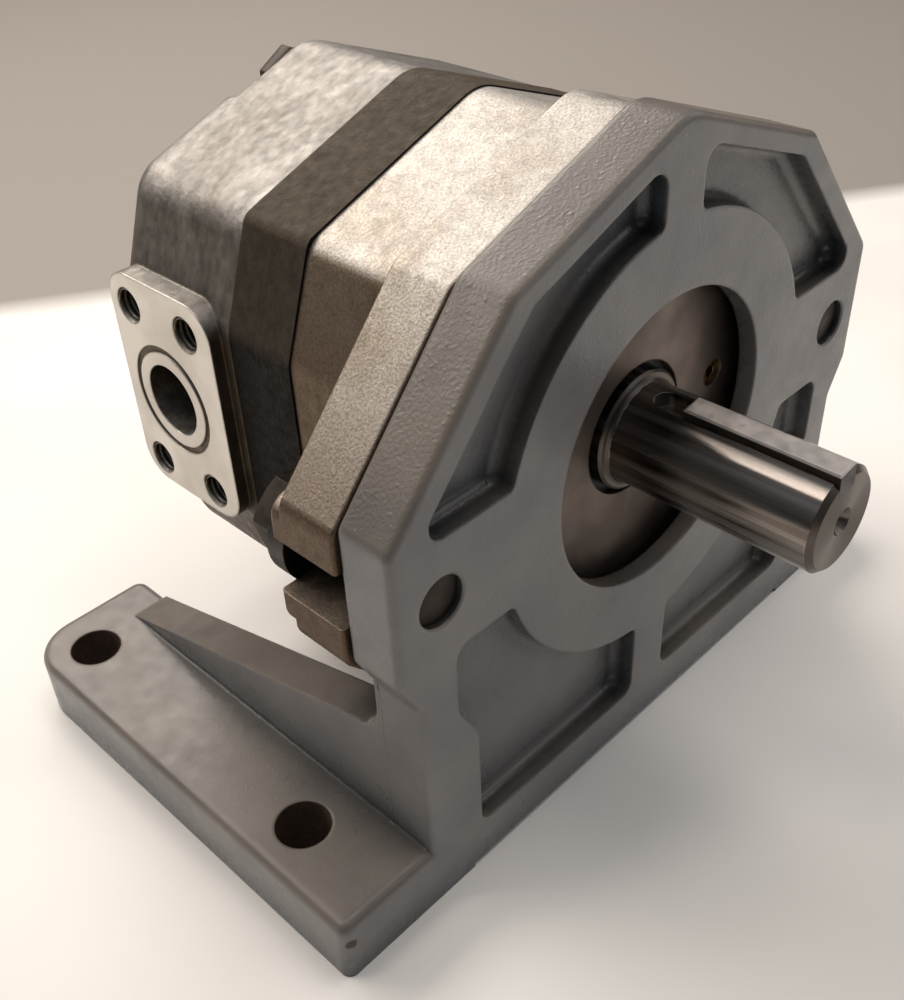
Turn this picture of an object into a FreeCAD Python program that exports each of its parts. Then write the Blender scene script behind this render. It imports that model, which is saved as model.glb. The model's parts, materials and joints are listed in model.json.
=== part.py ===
import FreeCAD, Part
import math
import os

# Internal gear pump on a cast foot bracket.
# Lengths are millimetres. X runs to the right seen from the shaft end, Y runs
# to the rear of the pump and Z runs up. The origin is the centre of the
# foot-hole pattern on the sole. Section profiles are drawn about the shaft axis.

# Foot bracket
shaft_height = 90.5
foot_spacing_x = 190.5
foot_spacing_y = 88.9
foot_hole_dia = 13.5
foot_edge = 13.1
foot_setback = 28.4
foot_tail = 16.0
foot_thickness = 18.4
foot_width = 38.7
foot_corner_r = 13.0
foot_edge_r = 2.6
sole_relief = 1.4
sole_relief_edge = 2.4
rib_thickness = 10.9
rib_height = 31.0
rib_tail = 13.0
rib_blend_r = 9.0
plate_thickness = 14.6
plate_rim_apex = 25.6
plate_rim_shoulder_x = 0.1
plate_rim_shoulder_z = 6.6
plate_rim_side = 12.9
plate_side_z = 18.3
plate_waist_z = 15.2
plate_waist_drop = 10.4
plate_apex_r = 12.0
plate_corner_r = 3.5
plate_edge_r = 1.8
lip_thickness = 4.9
lip_width = 13.8
pocket_depth = 6.2
pocket_rim_top = 5.3
pocket_rim_side = 6.2
pocket_rim_waist = 10.6
pocket_rim_foot = 16.4
pocket_floor_z = 76.8
pocket_knee_z = 34.0
pocket_web = 12.8
pocket_boss_z = 15.2
pocket_ring_wall = 3.4
pocket_corner_r = 4.0
pocket_cusp_r = 2.4
pocket_floor_r = 2.6

# Mounting of the pump on the bracket
mount_spacing = 146.0
mount_screw_dia = 12.0
mount_head_flats = 18.0
mount_head_height = 7.5
mount_head_turn = 15.0
mount_washer_dia = 24.0
mount_washer_thickness = 5.2
mount_tip_recess = 1.8
mount_tap_chamfer = 0.4
washer_gap = 0.5
spot_face_gap = 0.15
slot_width = 14.4
pilot_dia = 101.6
pilot_height = 5.8
pilot_chamfer = 1.0

# Front flange
flange_thickness = 15.9
flange_step_apex = 4.6
flange_step_x = 0.4
flange_step_z = 4.2
flange_ear_rim = 14.0
flange_ear_z = 16.6
flange_corner_r = 5.0
flange_edge_r = 0.8
flange_seat_height = 3.5
flange_seat_reach = 27.5
flange_seat_r = 1.5
flange_depth = 41.5
step_fillet_r = 2.4

# Pump body outline
body_side_wall = 20.64
body_hip_z = 26.0
body_apex_r = 14.0
body_shoulder_r = 8.0
body_hip_r = 10.0
housing_length = 21.5
housing_proud = 0.4
housing_step = 0.3
housing_step_at = 11.6
housing_shoulder_r = 3.5
cover_length = 45.2
cover_rear_r = 8.0
cover_shoulder_r = 12.0

# Screws that clamp the body together
clamp_dia = 10.0
clamp_wall = 3.24
clamp_corner_wall = 7.2
clamp_corner_turn = 37.65
clamp_rim_apex = 12.6
clamp_rim_x = 10.1
clamp_rim_z = 10.2
clamp_head_flats = 16.0
clamp_head_height = 6.6
clamp_seat_depth = 8.4
clamp_seat_dia = 20.6
clamp_notch_half = 23.5
clamp_notch_drop = 11.4
clamp_notch_r = 5.0
clamp_thread = 20.0
clamp_hole_run_out = 3.0
clamp_hole_gap = 0.25
hex_chamfer = 0.8
dowel_dia = 8.0
dowel_length = 18.0
dowel_inset_x = 10.3
dowel_inset_z = 7.0

# Ports in the rear cover
port_station = 24.5
port_pad_proud = 3.4
pressure_bore_dia = 19.0
pressure_pitch_y = 22.8
pressure_pitch_z = 44.8
suction_bore_dia = 25.0
suction_pitch_y = 26.2
suction_pitch_z = 52.4
port_tap_dia = 8.5
port_tap_mouth = 9.6
port_tap_depth = 17.0
port_margin_y = 8.6
port_margin_z = 7.6
port_pad_r = 8.0
port_pad_root = 10.4
port_pad_lead = -1.2
port_pad_rise = 1.0
port_ring_wall = 3.4
port_groove_width = 1.8
port_groove_depth = 0.5

# Gear set
gear_module = 3.0
pinion_teeth = 13
ring_teeth = 19
pressure_angle = 25.0
profile_shift = 0.3
addendum = 0.9
dedendum = 1.15
backlash = 0.1
ring_rim = 4.0
ring_chamfer = 0.6
gear_side_gap = 0.05
running_gap = 0.06
crescent_gap = 0.15
flank_points = 7

# Crescent between the gears
crescent_reach = 68.0
crescent_split_gap = 0.3
stop_pin_dia = 5.0
stop_pin_angle = 70.0
stop_pin_grip = 6.0
stop_pin_seat = 0.1
roller_dia = 3.0
roller_angles = (-34.0, 54.0)
spring_angles = (-8.0, 22.0)
spring_span = 16.0
spring_thickness = 0.4
spring_pocket = 1.0
spring_inset = 3.0
spring_play = 1.0

# Side plates and their pressure fields
side_plate_thickness = 4.0
side_plate_gap = 0.1
side_plate_rim = 1.0
field_seal_width = 2.0
field_seal_depth = 1.6
field_seal_wall = 1.2
kidney_start = 62.0
kidney_end = 102.0
kidney_inner_lap = 0.2
kidney_outer_lap = 1.7
kidney_corner_r = 2.0

# Shaft, bushes and sealing
shaft_dia = 25.0
shaft_projection = 59.4
shaft_chamfer = 1.3
collar_step = 2.5
collar_proud = 1.7
collar_fillet = 1.4
collar_chamfer = 0.8
collar_clearance = 1.0
rear_journal = 18.0
rear_journal_gap = 1.0
centre_dia = 3.2
centre_mouth = 6.7
centre_depth = 9.0
key_width = 6.0
key_height = 6.0
key_length = 38.0
key_chamfer = 0.5
key_seat = 4.0
key_run_out = 9.1
key_turn = 7.0
rear_bush_wall = 2.0
bush_chamfer = 0.5
bush_length_front = 24.0
bush_length_rear = 16.0
seal_wall = 5.0
seal_width = 7.0
seal_land = 2.5
seal_mouth_gap = 1.8
seal_lip_wall = 1.2
seal_case_wall = 3.5
seal_lip_reach = 4.9
circlip_thickness = 1.75
circlip_reach = 1.6
circlip_bite = 0.8
circlip_eye_dia = 3.5
circlip_eye_hole = 1.6
circlip_opening = 3.2
housing_seal_wall = 0.75
housing_seal_width = 2.5
housing_seal_depth = 1.75
housing_seal_gap = 0.4
plug_dia = 7.0
plug_length = 8.0
plug_wall = 8.19
plug_turn = 0.95
plug_recess = 0.8
plug_hex = 3.0
plug_hex_depth = 3.0
fit_gap = 0.05
thread_gap = 0.05
cut_past = 1.0

# Stations along the shaft
y_front = -foot_setback - foot_spacing_y / 2
y_mount = y_front + plate_thickness
y_pilot = y_mount - pilot_height
y_step = y_mount + flange_thickness
y_housing = y_mount + flange_depth
y_cover = y_housing + housing_length
y_rear = y_cover + cover_length
y_seat = y_rear - clamp_seat_depth
y_ear_seat = y_step + flange_seat_height
y_port = y_cover + port_station
y_shaft_end = y_mount - shaft_projection
y_collar = y_pilot - collar_proud
y_seal = y_pilot + seal_land
y_circlip = y_seal + seal_width + fit_gap
sole_z = -shaft_height

# Places that follow from the sizes above
pilot_r = pilot_dia / 2
pocket_ring_r = pilot_r + pocket_ring_wall
plate_apex = pilot_r + plate_rim_apex
plate_shoulder_x = pilot_r + plate_rim_shoulder_x
plate_shoulder_z = pilot_r + plate_rim_shoulder_z
plate_side_x = mount_spacing / 2 + plate_rim_side
foot_outer_x = foot_spacing_x / 2 + foot_edge
foot_inner_x = foot_outer_x - foot_width
foot_tail_y = foot_spacing_y / 2 + foot_tail
rib_outer_x = foot_inner_x + rib_thickness
collar_dia = shaft_dia + 2 * collar_step
seal_dia = collar_dia + 2 * seal_wall
front_bush_r = seal_dia / 2
rear_bush_r = collar_dia / 2 + running_gap + rear_bush_wall
plug_reach = seal_dia / 2 + plug_wall + plug_dia / 2

# Gear circles
pinion_pitch_r = gear_module * pinion_teeth / 2
ring_pitch_r = gear_module * ring_teeth / 2
centre_distance = ring_pitch_r - pinion_pitch_r
pinion_tip_r = pinion_pitch_r + gear_module * (addendum + profile_shift)
pinion_root_r = pinion_pitch_r - gear_module * (dedendum - profile_shift)
ring_tip_r = ring_pitch_r - gear_module * (addendum - profile_shift)
ring_root_r = ring_pitch_r + gear_module * (dedendum + profile_shift)
ring_outer_r = ring_root_r + ring_rim
ring_z = -centre_distance
chamber_r = ring_outer_r + running_gap
side_plate_r = chamber_r - side_plate_rim
kidney_inner = ring_tip_r - kidney_inner_lap
kidney_outer = ring_root_r - kidney_outer_lap
seal_ring_inner = chamber_r + housing_seal_wall
seal_ring_outer = seal_ring_inner + housing_seal_width

# The body's outline goes round the gear chamber and the clamping screws
clamp_axis_z = centre_distance + seal_ring_outer + clamp_wall + clamp_dia / 2
clamp_corner_reach = seal_ring_outer + clamp_corner_wall + clamp_dia / 2
clamp_corner_x = clamp_corner_reach * math.cos(math.radians(clamp_corner_turn))
clamp_corner_z = centre_distance + clamp_corner_reach * math.sin(math.radians(clamp_corner_turn))
body_apex = clamp_axis_z + clamp_rim_apex
body_shoulder_x = clamp_corner_x + clamp_rim_x
body_shoulder_z = clamp_corner_z + clamp_rim_z
body_hip_x = seal_ring_outer + body_side_wall
dowel_x = body_hip_x - dowel_inset_x
dowel_z = body_hip_z - dowel_inset_z
port_face_x = body_hip_x + port_pad_proud
flange_apex = body_apex + flange_step_apex
flange_shoulder_x = body_shoulder_x + flange_step_x
flange_shoulder_z = body_shoulder_z + flange_step_z
flange_ear_x = mount_spacing / 2 + flange_ear_rim


def spot(x, y, z):
    """A point given from the shaft axis."""
    return FreeCAD.Vector(x, y, z + shaft_height)


def rod(radius, y0, y1, x=0.0, z=0.0):
    """A cylinder along Y."""
    return Part.makeCylinder(radius, y1 - y0, spot(x, y0, z), FreeCAD.Vector(0, 1, 0))


def cone(r0, r1, y0, y1, x=0.0, z=0.0):
    """A cone along Y."""
    return Part.makeCone(r0, r1, y1 - y0, spot(x, y0, z), FreeCAD.Vector(0, 1, 0))


def tube(outer, inner, y0, y1, x=0.0, z=0.0):
    """A hollow cylinder along Y."""
    return rod(outer, y0, y1, x, z).cut(rod(inner, y0, y1, x, z))


def slab(x0, x1, y0, y1, z0, z1):
    """A block between six planes, with z from the shaft axis."""
    return Part.makeBox(x1 - x0, y1 - y0, z1 - z0, spot(x0, y0, z0))


def rounded_wire(points, radii):
    """A closed wire through points, each corner rounded by its own radius."""
    count = len(points)
    edges = []
    starts, ends = [], []
    for i, corner in enumerate(points):
        to_last = (points[i - 1] - corner).normalize()
        to_next = (points[(i + 1) % count] - corner).normalize()
        if radii[i] <= 0:
            starts.append(corner)
            ends.append(corner)
            edges.append(None)
            continue
        half = to_last.getAngle(to_next) / 2
        run = radii[i] / math.tan(half)
        starts.append(corner + to_last * run)
        ends.append(corner + to_next * run)
        bisector = (to_last + to_next).normalize()
        middle = corner + bisector * (radii[i] / math.sin(half) - radii[i])
        edges.append(Part.Arc(starts[-1], middle, ends[-1]).toShape())
    outline = []
    for i in range(count):
        if edges[i] is not None:
            outline.append(edges[i])
        outline.append(Part.LineSegment(ends[i], starts[(i + 1) % count]).toShape())
    return Part.Wire(outline)


def section(points, radii, y0, y1):
    """A prism along Y from a profile of (x, z) points about the shaft axis."""
    wire = rounded_wire([spot(x, y0, z) for x, z in points], radii)
    return Part.Face(wire).extrude(FreeCAD.Vector(0, y1 - y0, 0))


def both_sides(half):
    """A closed outline from its right half, given from top to bottom."""
    return half + [(-x, z, r) for x, z, r in reversed(half) if abs(x) > 1e-6]


def outline_prism(half, y0, y1):
    """A prism along Y from the right half of a symmetric outline with radii."""
    full = both_sides(half)
    return section([(x, z) for x, z, r in full], [r for x, z, r in full], y0, y1)


def edges_at(shape, station):
    """The edges that lie wholly in the plane y = station."""
    return [e for e in shape.Edges
            if abs(e.BoundBox.YMin - station) < 1e-4 and abs(e.BoundBox.YMax - station) < 1e-4]


def upright_edges(shape):
    """The straight edges that run along Y."""
    return [e for e in shape.Edges if e.BoundBox.XLength < 1e-4 and e.BoundBox.ZLength < 1e-4]


def axis_distance(edge):
    """How far an edge's middle is from the shaft axis."""
    middle = edge.BoundBox.Center
    return math.hypot(middle.x, middle.z - shaft_height)


def soften(shape, radius, edges):
    """Round the given edges."""
    return shape.makeFillet(radius, edges)


def hexagon(flats, y0, y1, x, z, turn=0.0):
    """A hexagonal prism along Y, with two corners up and down before its turn."""
    corner = flats / math.sqrt(3)
    turns = [math.radians(60 * i + 90 + turn) for i in range(6)]
    points = [(x + corner * math.cos(t), z + corner * math.sin(t)) for t in turns]
    return section(points, [0] * 6, y0, y1)


def hex_screw(dia, length, flats, height, y_under_head, x, z, turn=0.0):
    """A hexagon head screw along Y with its tip to the front."""
    crown = y_under_head + height
    y_bevel = crown - hex_chamfer
    corner = flats / math.sqrt(3)
    shank = rod(dia / 2, y_under_head - length, y_under_head, x, z)
    head = hexagon(flats, y_under_head, crown, x, z, turn)
    envelope = rod(corner, y_under_head, y_bevel, x, z)
    envelope = envelope.fuse(cone(corner, flats / 2, y_bevel, crown, x, z))
    return shank.fuse(head.common(envelope)).removeSplitter()


def plate_outline():
    """The right half of the bracket plate, down to the sole."""
    return [(0.0, plate_apex, plate_apex_r),
            (plate_shoulder_x, plate_shoulder_z, plate_corner_r),
            (plate_side_x, plate_side_z, plate_corner_r),
            (plate_side_x, -plate_waist_z, plate_corner_r),
            (rib_outer_x, -plate_waist_z - plate_waist_drop, plate_corner_r),
            (rib_outer_x, sole_z, 0.0)]


def flange_outline():
    """The right half of the front flange."""
    upper = [(0.0, flange_apex, plate_apex_r),
             (flange_shoulder_x, flange_shoulder_z, flange_corner_r),
             (flange_ear_x, flange_ear_z, flange_corner_r)]
    return upper + [(x, -z, r) for x, z, r in reversed(upper)]


def body_outline(proud, shoulder_r):
    """The right half of the pump body, let out by proud."""
    upper = [(0.0, body_apex + proud, body_apex_r),
             (body_shoulder_x + proud, body_shoulder_z + proud, shoulder_r),
             (body_hip_x + proud, body_hip_z, body_hip_r)]
    return upper + [(x, -z, r) for x, z, r in reversed(upper)]


def line_offset(a, b, inset):
    """The line a-b moved inwards, towards the shaft axis, by inset."""
    along = FreeCAD.Vector(b[0] - a[0], 0, b[1] - a[1]).normalize()
    inward = FreeCAD.Vector(along.z, 0, -along.x)
    if inward.dot(FreeCAD.Vector(a[0], 0, a[1])) > 0:
        inward = inward * -1
    shift = inward * inset
    return (a[0] + shift.x, a[1] + shift.z), (b[0] + shift.x, b[1] + shift.z)


def crossing(line1, line2):
    """Where two lines of the profile plane meet."""
    (x1, z1), (x2, z2) = line1
    (x3, z3), (x4, z4) = line2
    det = (x1 - x2) * (z3 - z4) - (z1 - z2) * (x3 - x4)
    first = x1 * z2 - z1 * x2
    second = x3 * z4 - z3 * x4
    return ((first * (x3 - x4) - (x1 - x2) * second) / det,
            (first * (z3 - z4) - (z1 - z2) * second) / det)


def pocket_tool(points, side):
    """A pocket cutter with rounded corners and floor, for one side of the plate."""
    floor_y = y_front + pocket_depth
    flat = [(x * side, z) for x, z in points]
    block = section(flat, [pocket_corner_r] * len(flat), y_front - cut_past, floor_y)
    block = block.cut(rod(pocket_ring_r, y_front - 2 * cut_past, floor_y + cut_past))
    sharp = [e for e in upright_edges(block) if abs(axis_distance(e) - pocket_ring_r) < 1e-3]
    block = soften(block, pocket_cusp_r, sharp)
    return soften(block, pocket_floor_r, edges_at(block, floor_y))


def bracket_pockets():
    """The four casting pockets in the front of the plate."""
    web_x = pocket_web / 2
    apex = (0.0, plate_apex)
    shoulder = (plate_shoulder_x, plate_shoulder_z)
    side_top = (plate_side_x, plate_side_z)
    top_line = line_offset(apex, shoulder, pocket_rim_top)
    slope_line = line_offset(shoulder, side_top, pocket_rim_side)
    web_line = ((web_x, 0.0), (web_x, 1.0))
    boss_line = ((0.0, pocket_boss_z), (1.0, pocket_boss_z))
    upper = [crossing(web_line, top_line), crossing(top_line, slope_line),
             crossing(slope_line, boss_line), (web_x, pocket_boss_z)]
    wide_x = rib_outer_x - pocket_rim_waist
    foot_x = rib_outer_x - pocket_rim_foot
    lower = [(web_x, -pocket_boss_z), (wide_x, -pocket_boss_z), (wide_x, -pocket_knee_z),
             (foot_x, -pocket_knee_z - plate_waist_drop), (foot_x, -pocket_floor_z),
             (web_x, -pocket_floor_z)]
    return [pocket_tool(points, side) for points in (upper, lower) for side in (1, -1)]


def bracket_foot(side):
    """One foot slab, rounded on its outer edges."""
    corners = [(foot_inner_x, y_front), (foot_outer_x, y_front),
               (foot_outer_x, foot_tail_y), (foot_inner_x, foot_tail_y)]
    radii = [0.0, foot_edge_r, foot_corner_r, plate_corner_r]
    points = [spot(side * x, y, sole_z) for x, y in corners]
    foot = Part.Face(rounded_wire(points, radii)).extrude(FreeCAD.Vector(0, 0, foot_thickness))
    top_z = sole_z + foot_thickness + shaft_height
    top_edges = [e for e in foot.Edges if abs(e.BoundBox.ZMin - top_z) < 1e-4
                 and abs(e.BoundBox.Center.x - side * foot_inner_x) > 1e-3]
    return soften(foot, foot_edge_r, top_edges)


def bracket_rib(side):
    """The wedge that braces the plate on one foot."""
    foot_top = sole_z + foot_thickness
    tail = foot_tail_y - rib_tail
    inside = y_mount - cut_past
    below = foot_top - cut_past
    blend_top = foot_top + 2 * rib_height
    points = [spot(0, inside, below), spot(0, tail, below), spot(0, tail, foot_top),
              spot(0, y_mount, foot_top + rib_height), spot(0, y_mount, blend_top),
              spot(0, inside, blend_top)]
    radii = [0, 0, 0, rib_blend_r, 0, 0]
    start = foot_inner_x if side > 0 else -rib_outer_x
    wire = rounded_wire([p + FreeCAD.Vector(start, 0, 0) for p in points], radii)
    return Part.Face(wire).extrude(FreeCAD.Vector(rib_thickness, 0, 0))


def foot_bracket():
    """The cast bracket: plate, feet, ribs, pump seat and holes."""
    plate = outline_prism(plate_outline(), y_front, y_mount)
    rim = [e for e in edges_at(plate, y_front) + edges_at(plate, y_mount)
           if e.BoundBox.Center.z > sole_z + shaft_height + 1e-3]
    bracket = soften(plate, plate_edge_r, rim)
    for side in (1, -1):
        bracket = bracket.fuse([bracket_foot(side), bracket_rib(side)])
    bracket = bracket.removeSplitter()
    relief_x = foot_inner_x - sole_relief_edge
    before, behind = y_front - cut_past, y_mount + cut_past
    cuts = bracket_pockets()
    cuts.append(slab(-relief_x, relief_x, before, behind, sole_z - cut_past, sole_z + sole_relief))
    cuts.append(rod(pilot_r - lip_width, before, behind))
    cuts.append(rod(pilot_r + fit_gap, y_front + lip_thickness, behind))
    tap_r = mount_screw_dia / 2 + thread_gap
    for side in (1, -1):
        x = side * mount_spacing / 2
        cuts.append(rod(tap_r, before, behind, x))
        cuts.append(cone(tap_r + mount_tap_chamfer, tap_r, y_front, y_front + mount_tap_chamfer, x))
        for y in (-foot_spacing_y / 2, foot_spacing_y / 2):
            base = spot(side * foot_spacing_x / 2, y, sole_z - cut_past)
            cuts.append(Part.makeCylinder(foot_hole_dia / 2, foot_thickness + 2 * cut_past, base))
    return bracket.cut(cuts)


def mounting_bolts():
    """The two screws that hold the pump flange on the bracket."""
    head_seat = y_ear_seat + mount_washer_thickness
    length = head_seat - y_front - mount_tip_recess
    return [hex_screw(mount_screw_dia, length, mount_head_flats, mount_head_height, head_seat,
                      side * mount_spacing / 2, 0.0, mount_head_turn) for side in (1, -1)]


def mounting_washers():
    """The thick washers under the mounting screw heads."""
    hole = mount_screw_dia / 2 + washer_gap
    return [tube(mount_washer_dia / 2, hole, y_ear_seat, y_ear_seat + mount_washer_thickness,
                 side * mount_spacing / 2) for side in (1, -1)]


def clamp_places():
    """Where the clamping screws stand."""
    places = [(0.0, clamp_axis_z), (0.0, -clamp_axis_z)]
    return places + [(sx * clamp_corner_x, sz * clamp_corner_z) for sx in (1, -1) for sz in (1, -1)]


def clamp_screws():
    """The six long screws from the rear cover into the front flange."""
    length = y_seat - y_housing + clamp_thread
    return [hex_screw(clamp_dia, length, clamp_head_flats, clamp_head_height, y_seat, x, z)
            for x, z in clamp_places()]


def clamp_holes(y0, y1, gap):
    """Cutters for the clamping screws between two stations."""
    return [rod(clamp_dia / 2 + gap, y0, y1, x, z) for x, z in clamp_places()]


def dowel_places():
    """Two dowels on a diagonal, so that the body goes together one way only."""
    return [(dowel_x, dowel_z), (-dowel_x, -dowel_z)]


def dowels_at(station, gap):
    """Dowel solids or cutters across one joint."""
    half = dowel_length / 2 + gap
    return [rod(dowel_dia / 2 + gap, station - half, station + half, x, z) for x, z in dowel_places()]


def dowel_pins():
    """The dowels across both joints of the body."""
    return dowels_at(y_housing, 0.0) + dowels_at(y_cover, 0.0)


def plate_recess(y_face, toward):
    """The pocket in a cover for its side plate."""
    depth = side_plate_thickness + side_plate_gap
    y_floor = y_face + toward * depth
    return rod(side_plate_r + side_plate_gap, min(y_face, y_floor), max(y_face, y_floor), 0.0, ring_z)


def port_kidney(side, y0, y1, grow=0.0):
    """A round-cornered kidney beside the mesh, about the ring gear's centre."""
    outer = kidney_outer + grow
    inner = kidney_inner - grow
    ring = tube(outer, inner, y0, y1, 0.0, ring_z)
    lap = grow / ((outer + inner) / 2)
    first = math.radians(kidney_start) - lap
    last = math.radians(kidney_end) + lap
    wedge = [(0.0, ring_z)]
    for turn in (first, (first + last) / 2, last):
        wedge.append((side * 2 * outer * math.sin(turn), ring_z + 2 * outer * math.cos(turn)))
    block = ring.common(section(wedge, [0] * 4, y0, y1))
    return soften(block, kidney_corner_r + grow, upright_edges(block))


def field_ring(y_face, toward, gap):
    """The closed ring behind a side plate, round the pressure kidney."""
    y0 = y_face + toward * (side_plate_thickness + side_plate_gap)
    y1 = y0 + toward * (field_seal_depth + gap)
    stations = (min(y0, y1), max(y0, y1))
    outer = port_kidney(-1, *stations, grow=field_seal_wall + field_seal_width + gap)
    return outer.cut(port_kidney(-1, *stations, grow=field_seal_wall - gap))


def front_flange():
    """The front cover: flange with open slots, pilot, bush bore and seal seat."""
    plate = outline_prism(flange_outline(), y_mount, y_step)
    plate = soften(plate, flange_edge_r, edges_at(plate, y_mount) + edges_at(plate, y_step))
    barrel = outline_prism(body_outline(0.0, body_shoulder_r), y_mount + cut_past, y_housing)
    flange = plate.fuse(barrel).removeSplitter()
    root = [e for e in edges_at(flange, y_step) if on_outline(e, barrel)]
    flange = soften(flange, step_fillet_r, root).fuse([ear_seat(side) for side in (1, -1)])
    y_edge = y_pilot + pilot_chamfer
    flange = flange.fuse(cone(pilot_r - pilot_chamfer, pilot_r, y_pilot, y_edge))
    flange = flange.fuse(rod(pilot_r, y_edge, y_mount + cut_past)).removeSplitter()
    cuts = clamp_holes(y_housing - clamp_thread - clamp_hole_run_out, y_housing + cut_past, thread_gap)
    cuts += dowels_at(y_housing, fit_gap)
    for side in (1, -1):
        cuts += flange_slot(side)
        spot_r = mount_washer_dia / 2 + spot_face_gap
        cuts.append(rod(spot_r, y_ear_seat, y_housing + cut_past, side * mount_spacing / 2))
    cuts.append(plate_recess(y_housing, -1))
    cuts.append(field_ring(y_housing, -1, fit_gap))
    cuts.append(rod(front_bush_r, y_seal, y_housing))
    cuts.append(rod(collar_dia / 2 + seal_mouth_gap, y_pilot - cut_past, y_housing))
    cuts.append(circlip_groove())
    cuts.append(stop_pin(fit_gap))
    plug_end = y_pilot + plug_recess + plug_length
    cuts.append(rod(plug_dia / 2 + thread_gap, y_pilot - cut_past, plug_end, *plug_place()))
    return flange.cut(cuts)


def ear_seat(side):
    """The raised seat for one mounting screw, behind the ear of the flange."""
    reach = flange_ear_x - flange_seat_reach
    points = [(side * reach, flange_ear_z), (side * flange_ear_x, flange_ear_z),
              (side * flange_ear_x, -flange_ear_z), (side * reach, -flange_ear_z)]
    radii = [0.0, flange_corner_r, flange_corner_r, 0.0]
    seat = section(points, radii, y_step - flange_edge_r, y_ear_seat)
    rim = [e for e in edges_at(seat, y_ear_seat)
           if abs(e.BoundBox.Center.x - side * reach) > 1e-3]
    return soften(seat, flange_seat_r, rim)


def flange_slot(side):
    """Cutters for the open slot in one ear of the flange."""
    x = side * mount_spacing / 2
    out_x = side * (flange_ear_x + cut_past)
    before, behind = y_mount - cut_past, y_ear_seat + cut_past
    mouth = slab(min(x, out_x), max(x, out_x), before, behind, -slot_width / 2, slot_width / 2)
    return [rod(slot_width / 2, before, behind, x), mouth]


def on_outline(edge, prism):
    """Whether an edge's middle lies on the surface of a prism."""
    middle = edge.valueAt((edge.FirstParameter + edge.LastParameter) / 2)
    on_or_in = Part.Vertex(middle).distToShape(prism)[0] < 1e-4
    return on_or_in and not prism.isInside(middle, 1e-4, False)


def circlip_groove():
    """The groove in the seal bore that holds the circlip."""
    return rod(seal_dia / 2 + circlip_bite, y_circlip, y_circlip + circlip_thickness + fit_gap)


def seal_circlip():
    """The internal circlip behind the shaft seal, with its two eyes."""
    y0, y1 = y_circlip, y_circlip + circlip_thickness
    ring = tube(seal_dia / 2 + circlip_bite - fit_gap, seal_dia / 2 - circlip_reach, y0, y1)
    half = circlip_opening / 2
    ring = ring.cut(slab(-half, half, y0, y1, -seal_dia, 0.0))
    eye_r = circlip_eye_dia / 2
    for side in (1, -1):
        x = side * (half + eye_r)
        z = eye_r - math.sqrt((seal_dia / 2) ** 2 - x ** 2)
        eye = rod(eye_r, y0, y1, x, z).common(rod(seal_dia / 2 - fit_gap, y0, y1))
        ring = ring.fuse(eye).cut(rod(circlip_eye_hole / 2, y0, y1, x, z))
    return ring.removeSplitter()


def shaft_seal():
    """The radial shaft seal: a metal-backed ring with a lip on the collar."""
    lip_outer = collar_dia / 2 + seal_lip_wall
    case = tube(seal_dia / 2 - fit_gap, seal_dia / 2 - seal_case_wall, y_seal, y_seal + seal_width)
    web = tube(seal_dia / 2 - fit_gap, lip_outer, y_seal, y_seal + seal_lip_wall)
    lip = tube(lip_outer, collar_dia / 2 + running_gap, y_seal, y_seal + seal_lip_reach)
    return case.fuse([web, lip]).removeSplitter()


def gear_housing():
    """The iron ring that holds the gear set, slightly proud of both covers."""
    y_ledge = y_housing + housing_step_at
    front = outline_prism(body_outline(housing_proud, housing_shoulder_r), y_housing, y_ledge)
    back = outline_prism(body_outline(housing_proud - housing_step, housing_shoulder_r), y_ledge, y_cover)
    ring = front.fuse(back).removeSplitter()
    cuts = clamp_holes(y_housing - cut_past, y_cover + cut_past, clamp_hole_gap)
    cuts += dowels_at(y_housing, fit_gap)
    cuts += dowels_at(y_cover, fit_gap)
    cuts.append(rod(chamber_r, y_housing - cut_past, y_cover + cut_past, 0.0, ring_z))
    cuts += [seal_ring(y_housing, 1, 0.0), seal_ring(y_cover, -1, 0.0)]
    return ring.cut(cuts)


def seal_ring(y_face, toward, gap):
    """The square-cut ring seal in the housing face, or the cutter for its groove."""
    y_floor = y_face + toward * housing_seal_depth
    return tube(seal_ring_outer, seal_ring_inner + gap, min(y_face, y_floor), max(y_face, y_floor),
                0.0, ring_z)


def port_pad(side, pitch_y, pitch_z):
    """A port pad on one side of the rear cover."""
    half_y = pitch_y / 2 + port_margin_y
    half_z = pitch_z / 2 + port_margin_z
    corners = [(-half_y, -half_z), (half_y, -half_z), (half_y, half_z), (-half_y, half_z)]
    root_x = side * (body_hip_x - port_pad_root)
    points = [spot(root_x, y_port + port_pad_lead + y, port_pad_rise + z) for y, z in corners]
    wire = rounded_wire(points, [port_pad_r] * 4)
    return Part.Face(wire).extrude(FreeCAD.Vector(side * port_face_x - root_x, 0, 0))


def side_rod(radius, side, depth, y, z):
    """A cylinder along X, sunk to a depth below a port face and open outwards."""
    base = spot(side * (port_face_x + cut_past), y, z)
    return Part.makeCylinder(radius, depth + cut_past, base, FreeCAD.Vector(-side, 0, 0))


def port_cuts(side, bore_dia, pitch_y, pitch_z):
    """The bore, face groove and tapped holes of one port."""
    middle_r = (kidney_inner + kidney_outer) / 2
    cuts = [side_rod(bore_dia / 2, side, port_face_x - middle_r, y_port, 0.0)]
    ring_r = bore_dia / 2 + port_ring_wall
    groove = side_rod(ring_r + port_groove_width, side, port_groove_depth, y_port, 0.0)
    cuts.append(groove.cut(side_rod(ring_r, side, port_groove_depth, y_port, 0.0)))
    mouth = (port_tap_mouth - port_tap_dia) / 2
    for sy in (1, -1):
        for sz in (1, -1):
            y = y_port + sy * pitch_y / 2
            z = sz * pitch_z / 2
            cuts.append(side_rod(port_tap_dia / 2, side, port_tap_depth, y, z))
            base = spot(side * port_face_x, y, z)
            cuts.append(Part.makeCone(port_tap_mouth / 2, port_tap_dia / 2, mouth, base,
                                      FreeCAD.Vector(-side, 0, 0)))
    return cuts


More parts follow.
